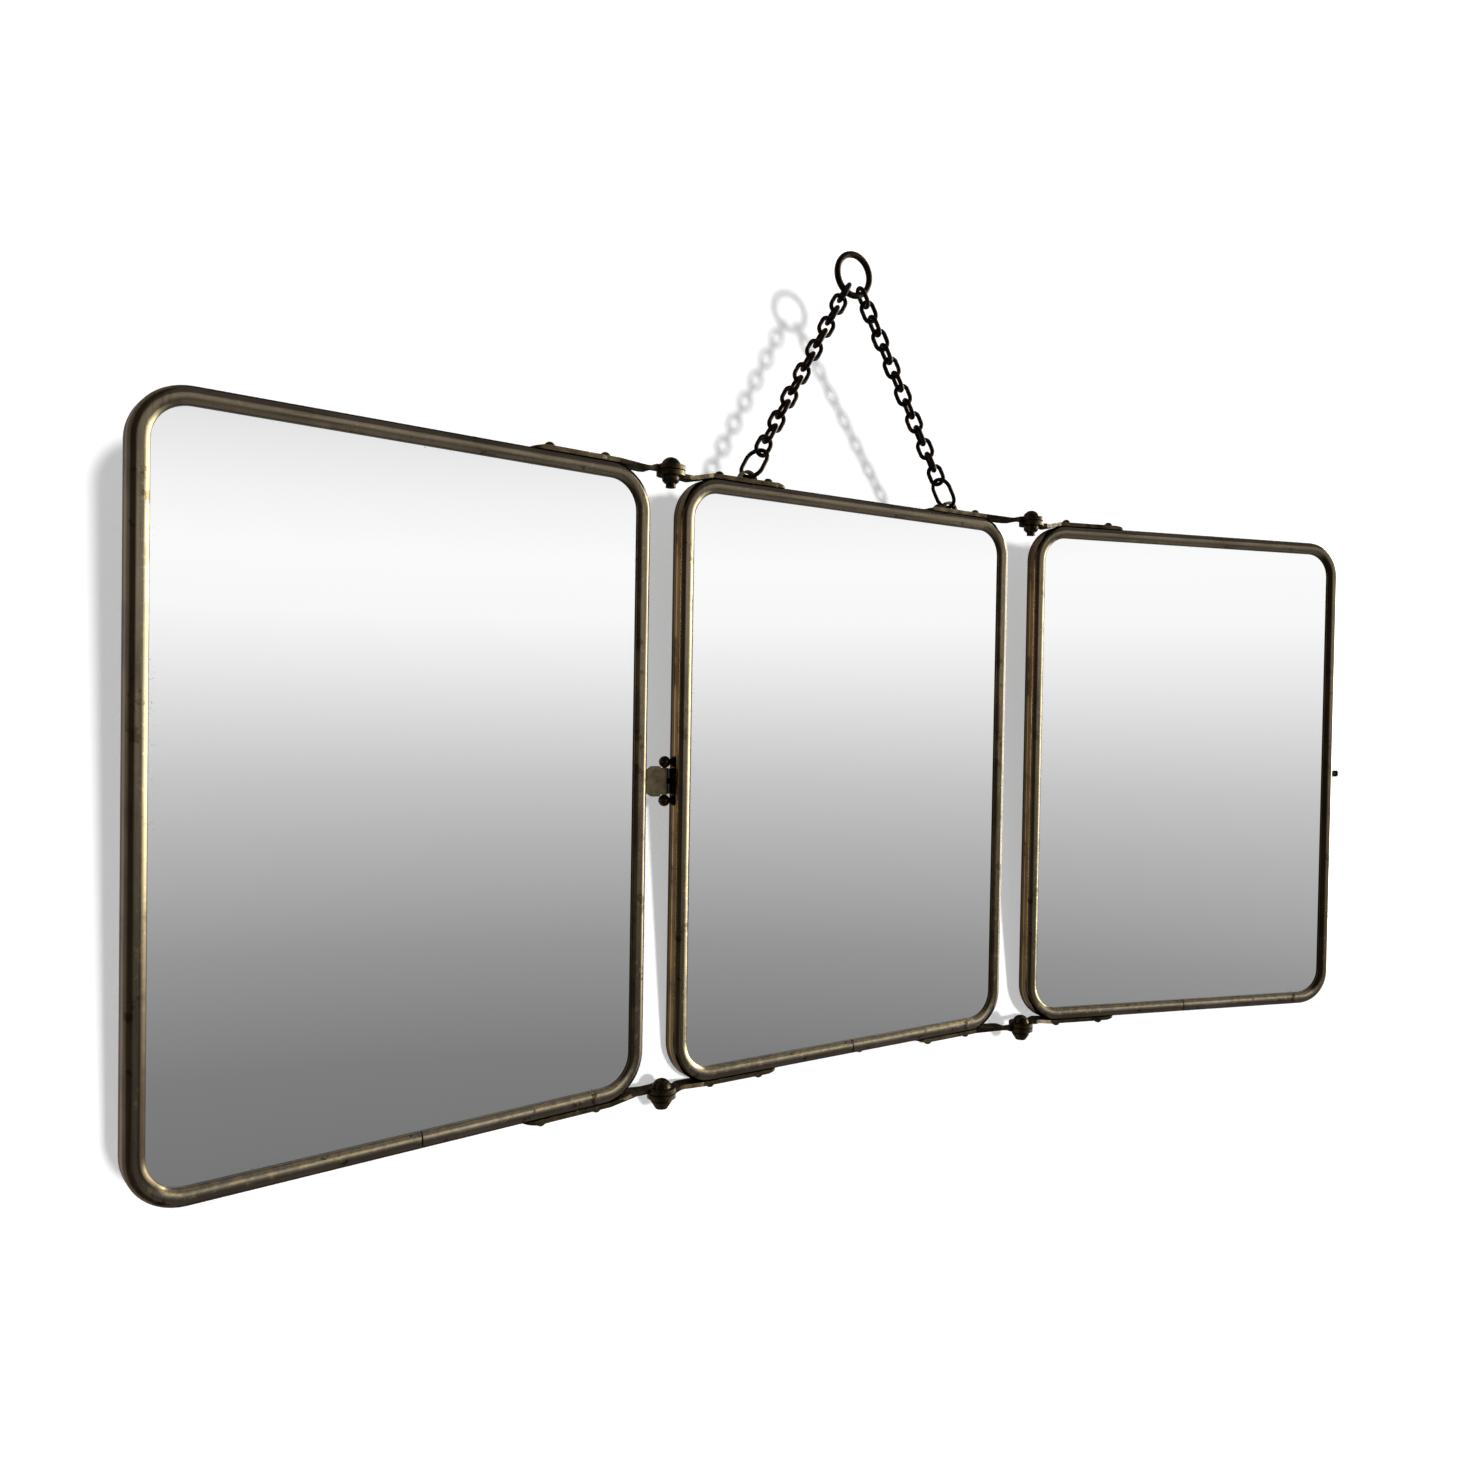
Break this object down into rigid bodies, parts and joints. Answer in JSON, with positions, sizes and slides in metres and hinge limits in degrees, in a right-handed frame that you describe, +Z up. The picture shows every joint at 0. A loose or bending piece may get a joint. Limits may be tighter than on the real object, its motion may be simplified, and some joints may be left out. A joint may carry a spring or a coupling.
{
  "type": "trifold mirror",
  "caption": "Trifold wall mirror hung by a ring and chain: rimmed rectangular mirrors, the outer ones folding in on strap hinges, with a hasp and stud clasp.",
  "frame": {"origin": "the point at the inside top of the hanging ring that bears on its nail, on the ring's mid plane", "axes": "+X to the right seen from the front, +Y to the wall behind, +Z up; the front looks along -Y"},
  "size_m": [0.5863, 0.0665, 0.3678],
  "materials": {
    "rim_nickel": "aged nickel plate over brass, worn to yellow on the inner edge",
    "glass": "silvered plate glass",
    "card": "packing board",
    "back": "dark lacquered sheet",
    "strap": "dark tarnished brass",
    "rivet": "dark tarnished brass",
    "hinge": "tarnished brass",
    "chain": "blackened wire",
    "clasp": "tarnished brass",
    "splice": "plain brass bar"
  },
  "bodies": {
    "ring": {"hanging_ring": "chain"},
    "chain": {"left_chain_links": "chain", "right_chain_links": "chain", "left_eye_link": "chain", "right_eye_link": "chain"},
    "centre_panel": {"centre_rim": "rim_nickel", "centre_glass": "glass", "centre_packing_card": "card", "centre_back_plate": "back", "centre_rim_splice": "splice", "centre_splice_screw": "hinge", "centre_strap_rivets": "rivet", "centre_top_left_strap": "strap", "centre_top_right_strap": "strap", "centre_bottom_left_strap": "strap", "centre_bottom_right_strap": "strap", "hinge_screws": "hinge", "hinge_washers": "hinge", "top_hinge_nuts": "hinge", "bottom_hinge_nuts": "hinge", "clasp_base": "clasp", "clasp_pin": "clasp"},
    "clasp_leaf": {"clasp_leaf": "clasp"},
    "left_wing": {"left_wing_rim": "rim_nickel", "left_wing_glass": "glass", "left_wing_packing_card": "card", "left_wing_back_plate": "back", "left_wing_rim_splice": "splice", "left_wing_strap_rivets": "rivet", "left_wing_top_strap": "strap", "left_wing_bottom_strap": "strap"},
    "right_wing": {"right_wing_rim": "rim_nickel", "right_wing_glass": "glass", "right_wing_packing_card": "card", "right_wing_back_plate": "back", "right_wing_rim_splice": "splice", "right_wing_strap_rivets": "rivet", "right_wing_top_strap": "strap", "right_wing_bottom_strap": "strap", "latch_stud": "clasp"}
  },
  "joints": [
    {"name": "chain_swing", "type": "hinge", "parent": "ring", "child": "chain", "pos_m": [0, 0, -0.01555], "axis": [-1, 0, 0], "range_deg": [0, 30]},
    {"name": "panel_tilt", "type": "hinge", "parent": "chain", "child": "centre_panel", "pos_m": [0, -0.0033, -0.10182], "axis": [-1, 0, 0], "range_deg": [0, 15]},
    {"name": "left_wing_fold", "type": "hinge", "parent": "centre_panel", "child": "left_wing", "pos_m": [-0.09825, -0.0098, -0.2343], "axis": [0, 0, 1], "range_deg": [-6.4, 173.6]},
    {"name": "right_wing_fold", "type": "hinge", "parent": "centre_panel", "child": "right_wing", "pos_m": [0.10175, -0.01465, -0.2343], "axis": [0, 0, -1], "range_deg": [-16.7, 163.3]},
    {"name": "clasp_turn", "type": "hinge", "parent": "centre_panel", "child": "clasp_leaf", "pos_m": [-0.09375, -0.00025, -0.2343], "axis": [0, 0, 1], "range_deg": [-3.25, 86.85]}
  ],
  "couplings": [
    {"joint": "clasp_turn", "follows": "left_wing_fold", "ratio": 0.5}
  ]
}
